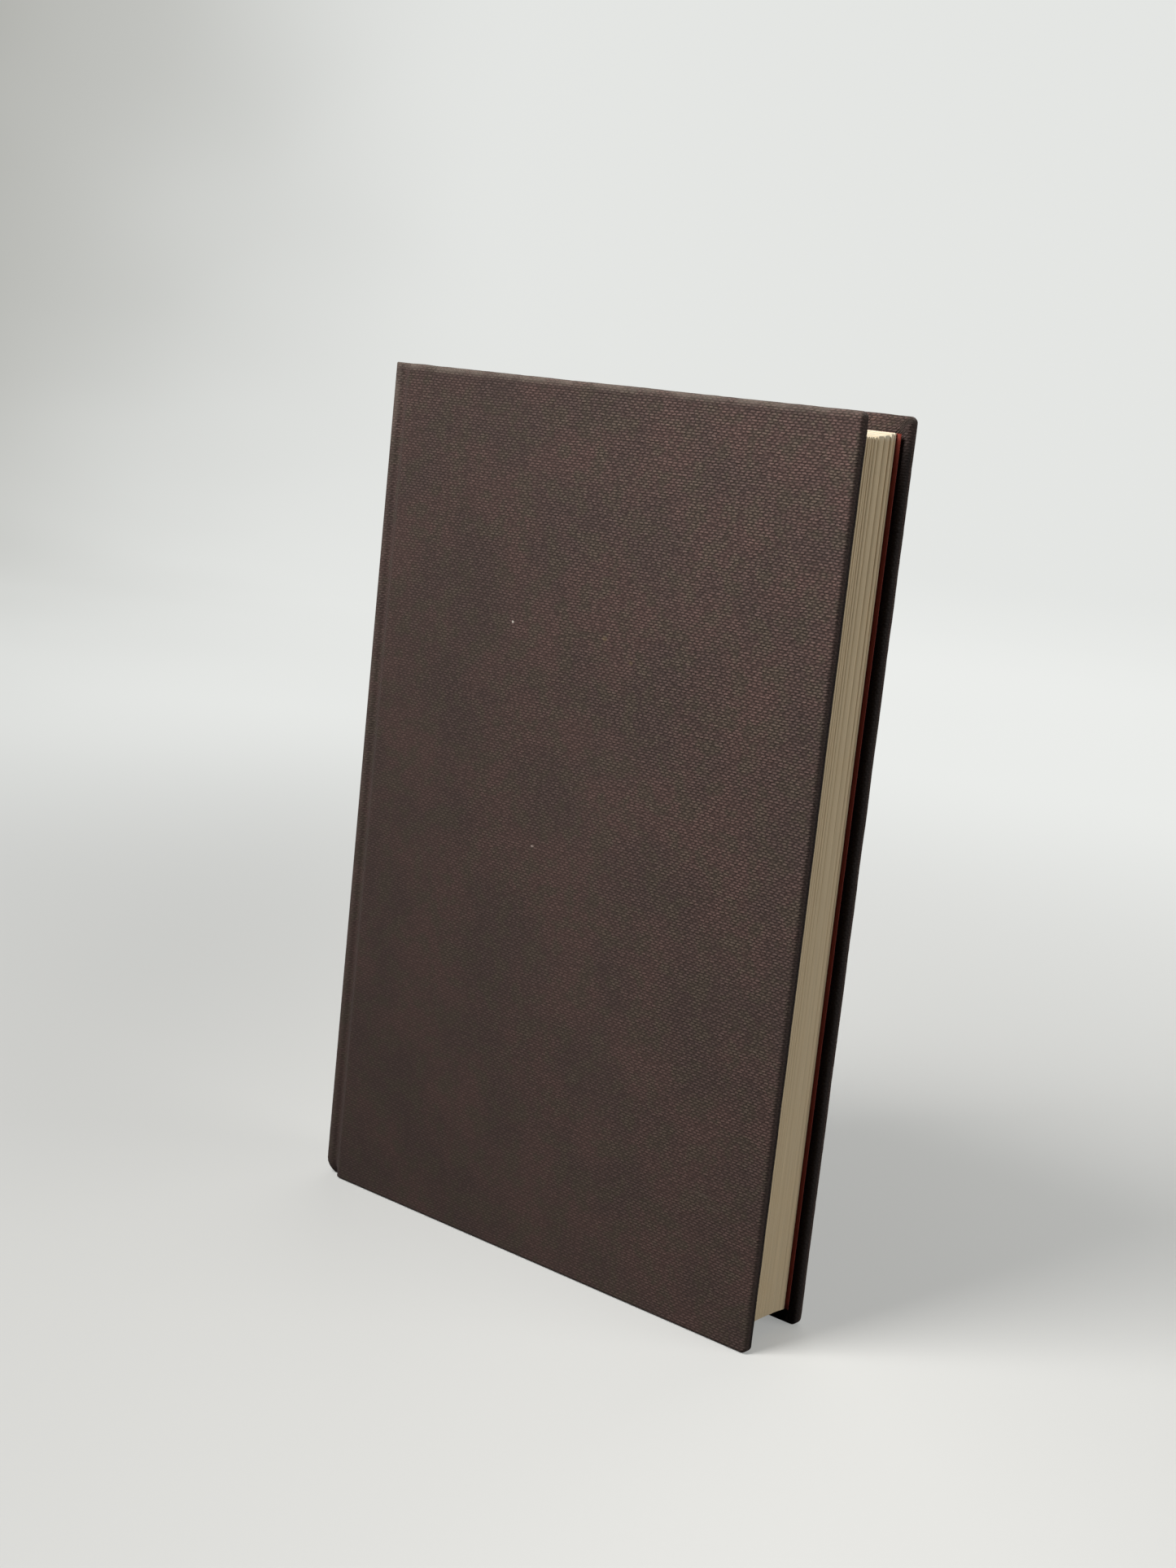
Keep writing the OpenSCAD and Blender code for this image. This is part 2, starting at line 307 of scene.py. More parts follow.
class Finish:
    """A material whose nodes are made by node()."""

    def __init__(self, name):
        self.material = bpy.data.materials.new(name)
        self.material.use_nodes = True
        self.tree = self.material.node_tree
        self.tree.nodes.clear()

    def node(self, kind, settings, values, output=0):
        """Adds a node: its settings first, then the values or links of its sockets."""
        node = self.tree.nodes.new(kind)
        for key, value in settings.items():
            setattr(node, key, value)
        for key, value in values.items():
            socket = node.inputs[key]
            if isinstance(value, Value):
                self.tree.links.new(value.socket, socket)
            else:
                socket.default_value = value
        return Value(self, node.outputs[output]) if len(node.outputs) else None

    def math(self, operation, *parts):
        return self.node("ShaderNodeMath", {"operation": operation}, dict(enumerate(parts)))

    def rise(self, value, low, high, bottom=0.0, top=1.0):
        """Even rise from bottom at low to top at high."""
        return self.node(
            "ShaderNodeMapRange", {"interpolation_type": "SMOOTHSTEP"},
            {"Value": value, "From Min": low, "From Max": high, "To Min": bottom, "To Max": top})

    def noise(self, vector, scale, detail=2.0, roughness=0.5):
        return self.node(
            "ShaderNodeTexNoise", {},
            {"Vector": vector, "Scale": scale, "Detail": detail, "Roughness": roughness})

    def mix(self, share, a, b, blend="MIX"):
        """Mixes two colours."""
        return self.node(
            "ShaderNodeMix", {"data_type": "RGBA", "blend_type": blend},
            {0: share, 6: colour(a), 7: colour(b)}, 2)

    def shade(self, base, amount):
        """A colour times a number."""
        grey = self.node("ShaderNodeCombineColor", {}, {0: amount, 1: amount, 2: amount})
        return self.mix(1.0, base, grey, "MULTIPLY")

    def stretch(self, vector, x, y, z):
        """A vector scaled along its axes."""
        return self.node(
            "ShaderNodeVectorMath", {"operation": "MULTIPLY"}, {0: vector, 1: (x, y, z)})

    def parts(self, vector):
        first = self.node("ShaderNodeSeparateXYZ", {}, {0: vector})
        return [Value(self, s) for s in first.socket.node.outputs]

    def join(self, x, y, z):
        return self.node("ShaderNodeCombineXYZ", {}, {0: x, 1: y, 2: z})

    def sheet_place(self):
        """Place on the flat sheet, in millimetres."""
        flat = self.node("ShaderNodeAttribute", {"attribute_name": "flat"}, {}, "Vector")
        return self.stretch(flat, 1 / MM, 1 / MM, 1 / MM)

    def body_place(self):
        """Place in the row frame, in millimetres."""
        place = self.node("ShaderNodeTexCoord", {}, {}, "Object")
        return self.stretch(place, 1 / MM, 1 / MM, 1 / MM)

    def surface(self, base, roughness, height, relief, sheen=0.0, sheen_tint=(1, 1, 1),
                gloss=0.3):
        """Closes the material: colour, roughness and bump from a height in millimetres."""
        bump = self.node(
            "ShaderNodeBump", {}, {"Strength": 1.0, "Distance": relief * MM, "Height": height})
        shader = self.node(
            "ShaderNodeBsdfPrincipled", {},
            {"Base Color": base, "Roughness": roughness, "Normal": bump,
             "Specular IOR Level": gloss, "Sheen Weight": sheen, "Sheen Roughness": 0.5,
             "Sheen Tint": (*sheen_tint, 1.0)})
        self.node("ShaderNodeOutputMaterial", {}, {"Surface": shader})
        return self.material


def colour(value):
    """A colour as a socket wants it: a link, or four numbers."""
    return value if isinstance(value, Value) else (*value, 1.0)


def toned(tint, *factors):
    """A colour times one factor, or times one for each of red, green and blue."""
    red, green, blue = factors * 3 if len(factors) == 1 else factors
    return tint[0] * red, tint[1] * green, tint[2] * blue


def raised_stitches(made, place, across, up):
    """The weave: height of its staggered stitches, its flecks, and how crisp it is, which
    grows towards the head and the fore-edge."""
    weave = bpy.context.scene.book_weave
    wander = made.noise(place, 0.09, 2.0) - 0.5
    rows = (up + wander * 0.7) / (weave.rib / MM)
    row = rows.math("FLOOR")
    rib = ((rows - row) * math.pi).math("SINE")
    scatter = made.node("ShaderNodeTexWhiteNoise", {"noise_dimensions": "1D"}, {"W": row})
    shove = made.noise(made.stretch(place, 0.5, 0.9, 1.0), 1.0, 2.0)
    phase = across / (weave.dash / MM) + row * 0.5 + scatter * 0.3 + shove * 0.9
    cell = phase.math("FLOOR")
    chance = made.node(
        "ShaderNodeTexWhiteNoise", {"noise_dimensions": "2D"},
        {"Vector": made.join(cell, row, 0.0)})
    stitch = made.rise(((phase - cell) * math.pi).math("SINE"), 0.0, 0.95)
    height = rib * stitch * (chance * 0.55 + 0.45)
    flecks = made.noise(made.stretch(place, 0.6, 1.6, 1.0), 1.0, 3.0, 0.6)
    crisp = made.rise(
        across * 0.8 + up * 0.6 + made.noise(place, 0.03, 1.0) * 60 - 30, 20.0, 230.0, 0.3, 1.0)
    return height, flecks, crisp


def patchy_brown(made, place, tint):
    """The cloth's brown in large warm and dark patches and small olive ones."""
    patches = made.noise(place, 0.045, 3.0, 0.55)
    small_patches = made.noise(place, 0.17, 3.0, 0.6)
    base = made.mix(
        made.rise(patches, 0.38, 0.62), toned(tint, 0.91), toned(tint, 1.12, 1.03, 1.02))
    return made.mix(
        made.rise(small_patches, 0.45, 0.63) * 0.75, base, toned(tint, 0.93, 1.08, 0.92))


def rubbed_edges(made, across, up, fore, bend, rub):
    """How far the cloth is rubbed: along head, tail and fore-edge, and on the shoulder
    near the head."""
    corner = bpy.context.scene.book_case.corner / MM
    head_gap = abs(up - (HEIGHT - corner + bend))
    tail_gap = abs(up - (corner - bend))
    fore_gap = abs(across - fore)
    head_rub = made.rise(head_gap, 0.5, 2.1, 1.0, 0.0)
    side_rub = made.rise(made.math("MINIMUM", tail_gap, fore_gap), 0.2, 1.2, 0.2, 0.0)
    shoulder_rub = (
        made.rise(abs(across - 0.6), 0.4, 2.4, 1.0, 0.0)
        * (made.rise(up, HEIGHT - 26, HEIGHT - 4) * 0.75 + 0.25))
    rubbed = made.math("MAXIMUM", made.math("MAXIMUM", head_rub, side_rub), shoulder_rub)
    return rubbed * made.rise(rub, 0.30, 0.62, 0.25, 1.0)


def add_marks(made, base, sheet):
    """The specks, spots and scuffs of MARKS laid over a colour."""
    for u, z, wide, tall, share, tint in MARKS:
        offset = made.node(
            "ShaderNodeVectorMath", {"operation": "SUBTRACT"}, {0: sheet, 1: (u, z, 0.0)})
        gap = made.node(
            "ShaderNodeVectorMath", {"operation": "LENGTH"},
            {0: made.stretch(offset, 1 / wide, 1 / tall, 1.0)}, "Value")
        base = made.mix(made.rise(gap, 0.4, 1.0, share, 0.0), base, tint)
    return base


def cloth_finish():
    """Ribbed book cloth: rows of short staggered stitches, patchy, rubbed at the edges."""
    tints = bpy.context.scene.book_colours
    case = bpy.context.scene.book_case
    made = Finish("woven_brown_cloth")
    sheet = made.sheet_place()
    across, up, _ = made.parts(sheet)
    place = made.join(across, up, 0.0)

    height, flecks, crisp = raised_stitches(made, place, across, up)
    # Painted highlight and shade on the weave: stitch tops and flecks lighter, the rest darker,
    # most where the weave is crisp
    lit = made.rise(height * 0.55 + flecks * 0.8, 0.36, 0.95)
    base = made.shade(patchy_brown(made, place, tints.cloth), (lit - 0.4) * crisp * 1.25 + 1.0)
    # Painted shade: the cover darker towards the spine and the tail, where less light falls
    base = made.shade(
        base, made.rise(across, 0.0, case.width / MM, 0.68, 1.0)
        * made.rise(up, 0.0, HEIGHT, 0.93, 1.02))

    # Way to the middle of the bend round an edge, and its place at the fore-edge
    bend = (case.corner - case.edge + case.edge * math.pi / 4) / MM
    fore = (case.width - case.corner) / MM + bend
    rub = made.noise(made.stretch(place, 0.16, 0.16, 1.0), 1.0, 4.0, 0.65)
    rubbed = rubbed_edges(made, across, up, fore, bend, rub)
    base = made.mix(rubbed * 0.6, base, tints.cloth_worn)

    # Painted shade: the fore-edge band is darker, and the turned-in part is painted in deep
    # shade, a little of it the cloth's unfaded colour
    base = made.mix(made.rise(across - fore, -0.35, 0.35) * 0.6, base, toned(tints.cloth, 0.42))
    past_ends = made.math("MAXIMUM", up - (HEIGHT - case.corner / MM + bend), -1.0 * up)
    inside = made.math(
        "MAXIMUM", made.rise(across - fore, 1.0, 1.9), made.rise(past_ends, 2.0, 3.2))
    # The painted shade is mostly left off near the head, where light falls past the pages
    inside = inside * made.rise(up, HEIGHT - 10, HEIGHT - 4, 1.0, 0.25)
    base = made.mix(inside * 0.93, base, toned(tints.cloth, 0.16))

    # Painted shade: a dark line in the crease where the cloth is nipped against the board; and a
    # dark line below the head edge
    board_start = 6.3
    head_inset = 2.1
    crease_shade = made.rise(abs(across - board_start), 0.05, 0.45, 0.45, 0.0)
    head_line = (made.rise(abs(up - (HEIGHT - head_inset)), 0.05, 0.4, 0.6, 0.0)
                 * made.rise(rub, 0.3, 0.5))
    base = made.mix(made.math("MAXIMUM", crease_shade, head_line), base, toned(tints.cloth, 0.55))
    base = add_marks(made, base, sheet)

    soft = 1.0 - rubbed * 0.6
    roughness = made.rise(flecks, 0.3, 0.7, 0.85, 0.7) - rubbed * 0.08
    bump = (height * soft * 1.2 + flecks * 0.4) * crisp
    return made.surface(base, roughness, bump, 0.14, sheen=0.05, sheen_tint=(0.9, 0.8, 0.78),
                        gloss=0.22)


def page_finish():
    """Cut edges of the leaves: thin lines along the block, and painted shade with dirt between
    the sections, where the second number of the sheet's place gives the depth of the crevice."""
    tints = bpy.context.scene.book_colours
    head = HEIGHT - bpy.context.scene.book_pages.square / MM
    made = Finish("cream_page_edges")
    _, crevice, _ = made.parts(made.sheet_place())
    place = made.body_place()
    _, _, level = made.parts(place)
    leaves = made.noise(made.stretch(place, 0.12, 9.0, 0.035), 1.0, 3.0, 0.7)
    packs = made.noise(made.stretch(place, 0.02, 1.6, 0.004), 1.0, 2.0)
    stains = made.noise(place, 0.05, 4.0, 0.6)
    base = made.mix(made.rise(leaves, 0.3, 0.7), toned(tints.pages, 0.80), tints.pages)
    base = made.mix(
        made.rise(packs, 0.35, 0.65) * 0.25, base, toned(tints.pages, 0.82, 0.78, 0.72))
    base = made.mix(
        made.rise(stains, 0.5, 0.75) * 0.3, base, toned(tints.pages, 0.93, 0.86, 0.74))
    # Painted light: the pages paler and whiter near the head, where light from above falls
    base = made.mix(
        made.rise(level, head - 2.4, head - 0.6), base, toned(tints.pages, 1.05, 1.16, 1.36))
    # Painted shade and dirt in the crevices between the sections
    base = made.mix(
        made.rise(crevice, 0.2, 1.0) * 0.6, base, toned(tints.pages, 0.40, 0.36, 0.30))
    return made.surface(base, 0.9, leaves + packs, 0.06)


def paper_finish(name, tint, relief=0.03):
    """Uncoated paper with a faint grain and cloudy tone."""
    made = Finish(name)
    place = made.body_place()
    fibre = made.noise(made.stretch(place, 1.6, 1.6, 5.0), 1.0, 4.0, 0.6)
    cloud = made.noise(place, 0.04, 3.0, 0.6)
    base = made.mix(made.rise(cloud, 0.3, 0.7), toned(tint, 0.86), tint)
    base = made.mix(made.rise(fibre, 0.35, 0.7) * 0.25, base, toned(tint, 0.8))
    return made.surface(base, 0.82, fibre, relief)


def board_finish():
    """Grey board with pressed fibres and dark specks."""
    tint = bpy.context.scene.book_colours.board
    made = Finish("grey_board")
    place = made.body_place()
    fibre = made.noise(made.stretch(place, 0.9, 3.0, 0.9), 1.0, 5.0, 0.7)
    specks = made.rise(made.noise(place, 1.9, 1.0), 0.66, 0.74)
    base = made.mix(made.rise(fibre, 0.3, 0.7), toned(tint, 0.85), tint)
    base = made.mix(specks * 0.5, base, toned(tint, 0.45))
    return made.surface(base, 0.92, fibre, 0.06)


def gauze_finish():
    """Open binder's gauze stuck down with glue: a coarse grid of threads."""
    tints = bpy.context.scene.book_colours
    made = Finish("binding_gauze")
    _, y, z = made.parts(made.body_place())
    warp = abs((y * (math.pi / GAUZE_WEAVE)).math("SINE"))
    weft = abs((z * (math.pi / GAUZE_WEAVE)).math("SINE"))
    threads = made.math("MAXIMUM", made.rise(warp, 0.55, 0.8), made.rise(weft, 0.55, 0.8))
    base = made.mix(threads, toned(tints.thread, 0.45), tints.thread)
    return made.surface(base, 0.85, threads, 0.2)


def thread_finish():
    """Headband thread wound in close turns."""
    tints = bpy.context.scene.book_colours
    made = Finish("headband_thread")
    turn, round_place, _ = made.parts(made.sheet_place())
    strand = abs((turn * (math.pi / STRAND) + round_place * 0.4).math("SINE"))
    fuzz = made.noise(made.body_place(), 2.2, 3.0)
    # Painted shade in the grooves between the turns of thread
    base = made.mix(made.rise(strand, 0.0, 0.5), toned(tints.thread, 0.55), tints.thread)
    base = made.mix(made.rise(fuzz, 0.4, 0.7) * 0.2, base, toned(tints.thread, 0.7))
    return made.surface(base, 0.7, strand + fuzz * 0.3, 0.12, sheen=0.2)


def floor_finish():
    """Plain matt floor and backdrop, with painted shade darkening them towards the left. Away
    from the book the camera sees the backdrop in its own tone, so that it is bright without more
    light on the book. To other rays the floor is dark, so that it throws little light back."""
    tint = bpy.context.scene.book_colours.floor
    made = Finish("pale_floor")
    place = made.body_place()
    drift = made.noise(place, 0.0016, 2.0)
    base = made.mix(made.rise(drift, 0.3, 0.7), toned(tint, 0.97), tint)
    seen = made.node("ShaderNodeLightPath", {}, {}, "Is Camera Ray")
    # Painted shade: floor and backdrop darker towards the left
    shade_side = made.node(
        "ShaderNodeVectorMath", {"operation": "DOT_PRODUCT"},
        {0: place, 1: (0.77, 0.63, 0.0)}, "Value")
    base = made.shade(base, made.rise(shade_side, -170.0, 60.0, 0.62, 1.03))
    matt = made.node(
        "ShaderNodeBsdfDiffuse", {}, {"Color": made.mix(seen, toned(tint, 0.14), base)})
    # Painted shade: the backdrop's tone darker towards the left
    tone = made.mix(
        made.rise(shade_side + (drift - 0.5) * 300, -1100.0, -100.0),
        (0.40, 0.40, 0.37), (0.87, 0.885, 0.865))
    glow = made.node("ShaderNodeEmission", {}, {"Color": tone, "Strength": 1.0})
    away = made.node("ShaderNodeVectorMath", {"operation": "LENGTH"}, {0: place}, "Value")
    share = seen * made.rise(away, 60.0, 900.0, 0.3, 0.88)
    mixed = made.node("ShaderNodeMixShader", {}, {0: share, 1: matt, 2: glow})
    made.node("ShaderNodeOutputMaterial", {}, {"Surface": mixed})
    return made.material


# The case: sections, edges and the wrapped cloth


class SpineShape:
    """Circles of the spine, worked out as in the CAD frame."""

    radius = 75.0
    shoulder = 1.6
    drop = 0.9

    def __init__(self):
        front = Vector((self.shoulder, self.drop + self.shoulder))
        back = Vector((self.shoulder - LEAN, THICK - self.drop - self.shoulder))
        span = back - front
        inner = self.radius - self.shoulder
        reach = math.sqrt(inner ** 2 - (span.length / 2) ** 2)
        slant = math.atan2(LEAN, span.y)
        centre = (front + back) / 2 + reach * Vector((math.cos(slant), math.sin(slant)))
        front_angle = self.angle(front - centre)
        back_angle = self.angle(back - centre)
        middle = (front_angle + back_angle) / 2
        self.halves = {
            "front": (centre, front_angle, middle),
            "back": (Vector((centre.x + LEAN, THICK - centre.y)), 360 - back_angle,
                     360 - middle),
        }

    @staticmethod
    def angle(span):
        return math.degrees(math.atan2(span.y, span.x)) % 360


def case_section(half):
    """Outside of the case in plan, from near the fore-edge to the middle of the spine:
    a list of place, inward normal, thickness, place on the sheet, and which way and how far
    the place is knocked in at the tail, as a share of the crush."""
    case = bpy.context.scene.book_case
    shape = SpineShape()
    centre, start, end = shape.halves[half]
    thick = case.cover_thick / MM
    face_end = 7.4
    joint_wall = 0.72
    spine_wall = 0.8
    spine_fold = 0.7
    # Place towards which the shoulder is knocked in, and the share at back and middle
    heart = Vector((7.0, 7.0))
    weaker = 0.35
    # From the flat face into the joint, and up again to the shoulder
    groove = [(7.0, 0.0), (6.7, 0.01), (6.45, 0.04), (6.25, 0.12), (6.05, 0.24), (5.7, 0.46),
              (5.3, 0.74), (4.9, 1.02), (4.5, 1.26), (4.3, 1.37), (4.1, 1.46), (3.9, 1.53),
              (3.75, 1.58), (3.6, 1.61), (3.4, 1.62), (3.25, 1.59), (3.1, 1.54), (2.95, 1.46),
              (2.8, 1.36), (2.65, 1.27), (2.5, 1.17)]
    face = [(u, 0.0) for u in steps((case.width - case.corner) / MM, face_end, 1.6)]
    shoulder = arc((shape.shoulder, shape.drop + shape.shoulder), shape.shoulder,
                   288, start, 10)
    spine = arc(centre, shape.radius, start, end, SPINE_STEPS)
    points = [Vector(p) for p in face + groove + shoulder + spine[1:]]
    spine_from = len(points) - len(spine) + 1
    made = []
    sheet = points[0].x
    for k, point in enumerate(points):
        if k:
            sheet -= (point - points[k - 1]).length
        run = points[min(k + 1, len(points) - 1)] - points[max(k - 1, 0)]
        normal = Vector((run.y, -run.x)).normalized()
        if k >= spine_from:
            down = (point - points[spine_from - 1]).length
            depth = spine_wall + spine_fold * smooth(0, 1.2, down)
            more = (1 - weaker) * smooth(9.0, 1.0, down) if half == "front" else 0.0
            share = weaker + more
            inwards = (heart - point).normalized().lerp(normal, smooth(0.5, 6.0, down))
        else:
            # Full depth as far as the end of the board, folded straight in over it
            depth = joint_wall + (thick - point.y - joint_wall) * smooth(5.4, 5.95, point.x)
            normal = normal.lerp(Vector((0, 1)), smooth(4.6, 5.6, point.x)).normalized()
            share = (1.0 if half == "front" else weaker) * (1 - smooth(2.4, 5.4, point.x))
            inwards = (heart - point).normalized()
        made.append((point, normal, depth, sheet, share * inwards))
    return made


def edge_profile(thick):
    """Way of the cloth round an edge: inset, depth and length from the face inwards."""
    case = bpy.context.scene.book_case
    start = case.corner / MM
    bend = min(case.edge / MM, thick / 2 - 0.01)
    outer = arc((bend, bend), bend, 270, 180, 6)
    inner = [(a, thick - b) for a, b in reversed(outer)]
    inside = [(a, thick) for a in (start, 3.0, 4.4, 6.5, 9.0, 12.0, case.turn_in / MM)]
    way = [(start, 0.0), ((start + bend) / 2, 0.0), *outer, (0.0, thick / 2), *inner, *inside]
    length = 0.0
    made = []
    for k, (a, b) in enumerate(way):
        if k:
            length += math.dist(way[k - 1], (a, b))
        made.append((a, b, length))
    return made


def knocked(z):
    """How far the tail end of the spine is knocked in at a height."""
    case = bpy.context.scene.book_case
    rest = max(0.0, 1 - z * MM / case.crush_height)
    return case.crush / MM * rest ** 2.2


def wear(u, z, half):
    """Small unevenness of the worn edges at a place, as a shift in u, v and z."""
    case = bpy.context.scene.book_case
    width = case.width / MM
    wave = case.wave / MM
    shift = 0.0 if half == "front" else 40.0
    along_u = noise.noise(Vector((u * 0.11 + shift, 0.3, 5.0)))
    fine_u = noise.noise(Vector((u * 0.5 + shift, 4.3, 1.0)))
    along_z = noise.noise(Vector((z * 0.09 + shift, 7.7, 2.0)))
    fine_z = noise.noise(Vector((z * 0.45 + shift, 9.1, 3.0)))
    near_head = smooth(HEIGHT - 2.4, HEIGHT - 0.4, z)
    near_fore = smooth(width - 2.4, width - 0.4, u)
    down = wave * near_head * (0.9 + along_u + 0.5 * fine_u)
    back = wave * near_fore * (0.6 + 0.8 * along_z + 0.4 * fine_z)
    return Vector((-back, 0, -down))


def bend_joint(piece, half, inner):
    """Bakes the piece's transform into its mesh. The ends of a bend between cover and block,
    BEND_OUTER and inner, are worked out, the back's in the other order, but not used."""
    depth, level = 1.0, HEIGHT / 2
    if half == "front":
        at_front(BEND_OUTER, depth, level)
        at_front(inner, depth, level)
        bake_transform(piece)
    else:
        at_back(inner, depth, level)
        at_back(BEND_OUTER, depth, level)
        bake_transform(piece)


def wrap_case(half, finish):
    """One cover's cloth: cut flat with its corners off, folded round the board, mitred,
    nipped into the joint and carried on over half of the spine."""
    case = bpy.context.scene.book_case
    put = at_front if half == "front" else at_back
    section = case_section(half)
    width = case.width / MM
    start = case.corner / MM
    board_edge = edge_profile(case.cover_thick / MM)
    edges = [edge_profile(depth) for _, _, depth, _, _ in section]
    flap = len(board_edge) - 1
    rows = heights_between([start + a for a in (0.0, 0.5, 1.1, 1.8, 2.7, 3.8, 5.2)], 1.7)
    last = len(rows) - 1
    squeezed = 30.0

    def mitred(x, size, a):
        """Moves a place near a corner so that a turn-in ends on the mitre: a gives how far
        in it lies, and the squeezed length of the sheet takes up the move."""
        if a <= start:
            return x
        seam = min(0.07, (a - start) * 0.05)
        low = size - squeezed
        if x <= low:
            return x
        return low + (x - low) * ((size - a - seam) - low) / (size - start - low)

    def both_ends(z, a):
        """A row's height on the fore-edge turn-in, mitred at tail and head."""
        if z > HEIGHT / 2:
            return mitred(z, HEIGHT, a)
        return HEIGHT - mitred(HEIGHT - z, HEIGHT, a)

    side = 0.0 if half == "front" else BACK_SHEET

    def spot(u, v, z, sheet_u, sheet_z):
        shift = wear(u, z, half)
        return put(u + shift.x, v + shift.y, z + shift.z), Vector((sheet_u, sheet_z, side)) * MM

    def place(i, j):
        end = None
        if j < flap:
            end, k = "tail", flap - j
        elif j > flap + last:
            end, k = "head", j - flap - last
        if i < flap:
            if end:
                return None
            a, b, length = board_edge[flap - i]
            z = rows[j - flap]
            return spot(width - a, b, both_ends(z, a), width - start + length, z)
        point, normal, _, sheet, knock = section[i - flap]
        if end is None:
            z = rows[j - flap]
            a, b, sheet_z = 0.0, 0.0, z
        else:
            a, b, length = edges[i - flap][k]
            z = a if end == "tail" else HEIGHT - a
            sheet_z = start - length if end == "tail" else HEIGHT - start + length
            if i - flap < len(section) / 2:
                point = Vector((mitred(point.x, width, a), point.y))
        moved = point + normal * b + knock * knocked(z)
        return spot(moved.x, moved.y, z, sheet, sheet_z)

    bm = new_mesh()
    lay_grid(bm, flap + len(section) - 1, 2 * flap + last, place)

    # Corners: the edge profile turned through a right angle
    corner_rows = next(k for k, (a, _, _) in enumerate(board_edge) if k > 3 and a >= start)
    turns = 8
    for head in (True, False):
        corner_z = HEIGHT - start if head else start
        sign = 1 if head else -1

        def round_corner(i, j, corner_z=corner_z, sign=sign):
            a, b, length = board_edge[i]
            turn = math.radians(90 * j / turns)
            out = start - a
            return spot(width - start + out * math.cos(turn), b,
                        corner_z + sign * out * math.sin(turn),
                        width - start + length * math.cos(turn),
                        corner_z + sign * length * math.sin(turn))

        lay_grid(bm, corner_rows, turns, round_corner)

    outward = put(width / 2, -50, HEIGHT / 2)
    piece = finish_piece(bm, f"{half}_case_cloth", outward, finish, case.cloth)
    for vert in piece.data.vertices:
        vert.co.z = min(max(vert.co.z, 0.0), HEIGHT * MM)
    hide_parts(f"{half}_cloth", "spine_cloth")
    bend_joint(piece, half, CLOTH_BEND_INNER)


def stiffen_spine(finish):
    """The card in the spine, bent and knocked in with its cloth."""
    case = bpy.context.scene.book_case
    cloth = case.cloth / MM
    front = [(at_front, part) for part in case_section("front")[-SPINE_STEPS:]]
    back = [(at_back, part) for part in case_section("back")[-SPINE_STEPS:]]
    way = front + back[-2::-1]
    rows = [cloth, 1.2, 2.2, 3.4, 5.0] + steps(7.0, HEIGHT - cloth, 6.0)

    def place(i, j):
        put, (point, normal, _, sheet, knock) = way[i]
        z = rows[j]
        moved = point + normal * (cloth + 0.02) + knock * knocked(z)
        return put(moved.x, moved.y, z), Vector((sheet, z, 0)) * MM

    bm = new_mesh()
    lay_grid(bm, len(way) - 1, len(rows) - 1, place)
    piece = finish_piece(bm, "spine_card", at_front(-40, THICK / 2, HEIGHT / 2), finish,
                         CARD * MM)
    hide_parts("spine_inlay")
    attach(piece, "book_block")


# Pages, endpapers and headbands


def paste_endpaper(half, finish):
    """The pasted half of an endpaper: over the turn-ins, down to the board, and along the
    inner joint to the fold at the pages."""
    case = bpy.context.scene.book_case
    pages = bpy.context.scene.book_pages
    put = at_front if half == "front" else at_back
    width = case.width / MM
    square = pages.square / MM
    turn_in = case.turn_in / MM
    top = (case.cover_thick + pages.paper) / MM
    low = top - case.cloth / MM
    joint = [(6.1, low), (5.6, 3.02), (5.0, 2.90), (4.7, 2.87), (4.4, 2.84), (4.1, 2.82),
             (3.8, 2.82), (3.55, 2.84), (3.3, 2.88), (3.1, 2.95), (2.9, 3.04), (2.66, 3.36),
             (2.6, 3.72), (FOLD_PLACE, 3.96)]
    columns = [(u, top) for u in steps(width - square, 7.0, 1.7)] + joint
    board_end = len(columns) - len(joint)
    rows = heights_between([square, 5.2, 7.0, 9.5, 12.0, 14.2, 15.0, 15.8, 16.8, 18.5], 4.5)

    def place(i, j):
        u, v = columns[i]
        z = rows[j]
        if i <= board_end:
            inset = min(z, HEIGHT - z, width - u)
            v = top + (low - top) * smooth(turn_in - 0.3, turn_in + 1.2, inset)
        if i < board_end:
            v += 0.03 * noise.noise(Vector((u * 0.2, z * 0.2, 3.0)))
        return put(u, v, z), Vector((u, z, 0)) * MM

    bm = new_mesh()
    lay_grid(bm, len(columns) - 1, len(rows) - 1, place)
    piece = finish_piece(bm, f"{half}_pasted_endpaper", put(width / 2, 60, HEIGHT / 2), finish,
                         pages.paper)
    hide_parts(f"{half}_pastedown")
    bend_joint(piece, half, PAPER_BEND_INNER)


